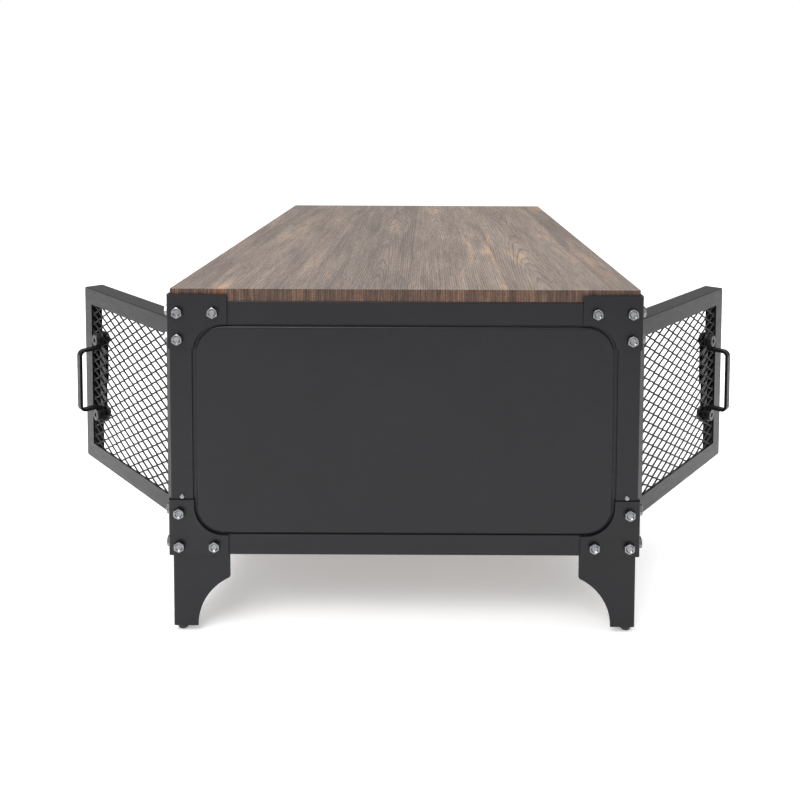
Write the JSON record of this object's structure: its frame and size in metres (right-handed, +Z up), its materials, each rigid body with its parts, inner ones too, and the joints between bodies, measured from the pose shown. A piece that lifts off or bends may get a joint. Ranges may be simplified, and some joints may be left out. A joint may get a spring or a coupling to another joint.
{
  "type": "low storage stand with mesh doors",
  "caption": "Low industrial-style stand with a wood-grain top, bolted dark steel frame, gusset legs, solid ends and expanded-metal mesh doors on both long sides.",
  "frame": {"origin": "on the floor under the middle of the cabinet body", "axes": "+X along the length towards the end whose doors stand open, -Y to the front, +Z up"},
  "size_m": [1.01, 0.9904, 0.445],
  "materials": {
    "powder_coated_steel": "fine satin powder coat, charcoal",
    "black_mesh": "satin black powder coat on expanded metal",
    "black_handle": "satin black powder coat",
    "hinge_steel": "satin charcoal coat on steel",
    "zinc_plate": "bright zinc plate",
    "wood_grain_board": "embossed dark wood-grain laminate, low sheen",
    "black_plastic": "matt"
  },
  "bodies": {
    "cabinet": {"top_board": "wood_grain_board", "bottom_board": "wood_grain_board", "corner_plates_top": "powder_coated_steel", "corner_plates_bottom": "powder_coated_steel", "frame_bolts": "zinc_plate", "weld_nuts": "zinc_plate", "leg_rivets": "zinc_plate", "leg_glides": "black_plastic", "board_screws": "zinc_plate", "magnetic_catches": "black_plastic", "hinge_fixed_leaves": "hinge_steel", "hinge_pins": "hinge_steel", "post_front_right": "powder_coated_steel", "leg_front_right": "powder_coated_steel", "post_back_right": "powder_coated_steel", "leg_back_right": "powder_coated_steel", "post_front_left": "powder_coated_steel", "leg_front_left": "powder_coated_steel", "post_back_left": "powder_coated_steel", "leg_back_left": "powder_coated_steel", "end_panel_right": "powder_coated_steel", "divider_right": "powder_coated_steel", "end_rail_top_right": "powder_coated_steel", "end_rail_bottom_right": "powder_coated_steel", "end_panel_left": "powder_coated_steel", "divider_left": "powder_coated_steel", "end_rail_top_left": "powder_coated_steel", "end_rail_bottom_left": "powder_coated_steel", "side_rail_top_front": "powder_coated_steel", "side_rail_bottom_front": "powder_coated_steel", "side_rail_top_back": "powder_coated_steel", "side_rail_bottom_back": "powder_coated_steel"},
    "door_front_right": {"door_frame_front_right": "powder_coated_steel", "door_mesh_front_right": "black_mesh", "door_handle_front_right": "black_handle", "handle_strap_front_right": "black_handle", "handle_fasteners_front_right": "black_handle", "strike_plate_front_right": "hinge_steel", "hinge_leaves_front_right": "hinge_steel"},
    "door_back_right": {"door_frame_back_right": "powder_coated_steel", "door_mesh_back_right": "black_mesh", "door_handle_back_right": "black_handle", "handle_strap_back_right": "black_handle", "handle_fasteners_back_right": "black_handle", "strike_plate_back_right": "hinge_steel", "hinge_leaves_back_right": "hinge_steel"},
    "door_front_left": {"door_frame_front_left": "powder_coated_steel", "door_mesh_front_left": "black_mesh", "door_handle_front_left": "black_handle", "handle_strap_front_left": "black_handle", "handle_fasteners_front_left": "black_handle", "strike_plate_front_left": "hinge_steel", "hinge_leaves_front_left": "hinge_steel"},
    "door_back_left": {"door_frame_back_left": "powder_coated_steel", "door_mesh_back_left": "black_mesh", "door_handle_back_left": "black_handle", "handle_strap_back_left": "black_handle", "handle_fasteners_back_left": "black_handle", "strike_plate_back_left": "hinge_steel", "hinge_leaves_back_left": "hinge_steel"}
  },
  "joints": [
    {"name": "door_front_right_hinge", "type": "hinge", "parent": "cabinet", "child": "door_front_right", "pos_m": [0.4675, -0.3012, 0.265], "axis": [0, 0, 1], "range_deg": [-44.3, 65.7]},
    {"name": "door_back_right_hinge", "type": "hinge", "parent": "cabinet", "child": "door_back_right", "pos_m": [0.4675, 0.3012, 0.265], "axis": [0, 0, -1], "range_deg": [-40.7, 69.3]},
    {"name": "door_front_left_hinge", "type": "hinge", "parent": "cabinet", "child": "door_front_left", "pos_m": [-0.4675, -0.3012, 0.265], "axis": [0, 0, -1], "range_deg": [0, 110]},
    {"name": "door_back_left_hinge", "type": "hinge", "parent": "cabinet", "child": "door_back_left", "pos_m": [-0.4675, 0.3012, 0.265], "axis": [0, 0, 1], "range_deg": [0, 110]}
  ]
}
